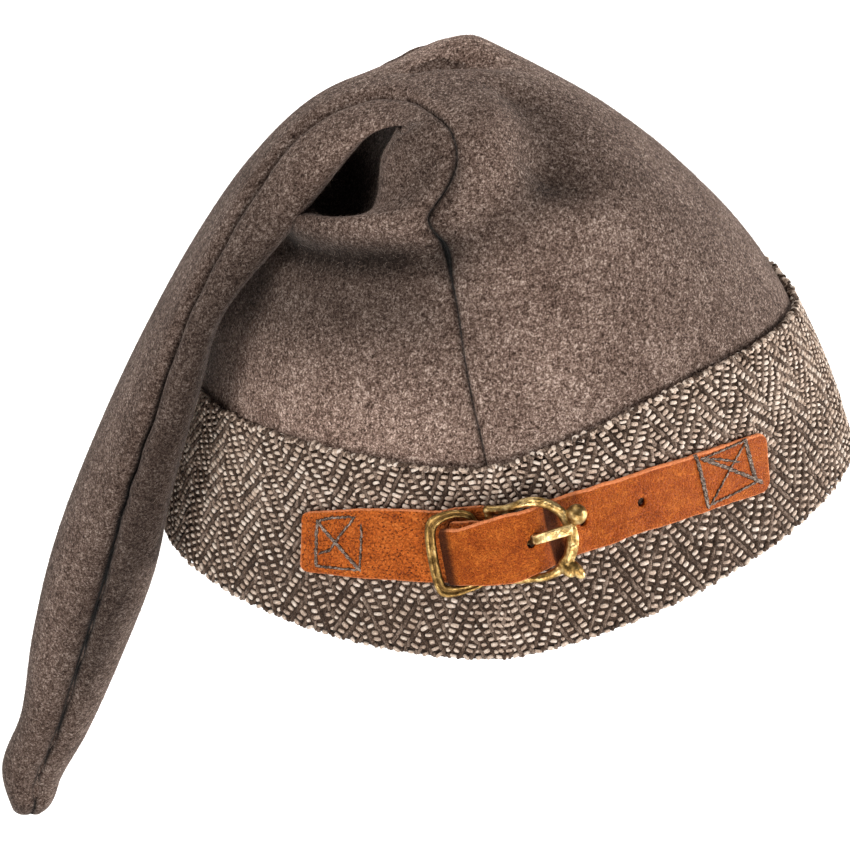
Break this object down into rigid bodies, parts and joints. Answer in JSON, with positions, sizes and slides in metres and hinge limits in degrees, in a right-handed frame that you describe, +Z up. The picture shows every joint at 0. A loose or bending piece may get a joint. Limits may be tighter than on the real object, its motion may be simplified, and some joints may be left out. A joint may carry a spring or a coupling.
{
  "type": "wool stocking cap",
  "caption": "Wool cap with a long hanging tail, a turned-up herringbone tweed band, and a leather strap with a buckle on its side.",
  "frame": {"origin": "middle of the rim opening, where a head carries the cap", "axes": "+Z up, +X towards the cap's front, the tail hangs at -X and the buckle sits at -Y; the rim is tilted about 7.5 degrees, higher at the front"},
  "size_m": [0.2544, 0.187, 0.241],
  "materials": {
    "wool": "heathered taupe melton wool with a soft nap",
    "tweed": "cream and dark brown herringbone tweed",
    "pebbled_leather": "tan leather with a pebbled grain",
    "smooth_leather": "tan leather, smooth, with fine creases",
    "brass": "aged brass, worn bright on its edges"
  },
  "bodies": {
    "root": {"crown_back_panel": "wool", "crown_front_panel": "wool", "band": "tweed", "strap_left": "pebbled_leather", "strap_right": "smooth_leather", "buckle_frame": "brass", "keeper_loop": "brass", "buckle_tongue": "brass"}
  },
  "joints": []
}
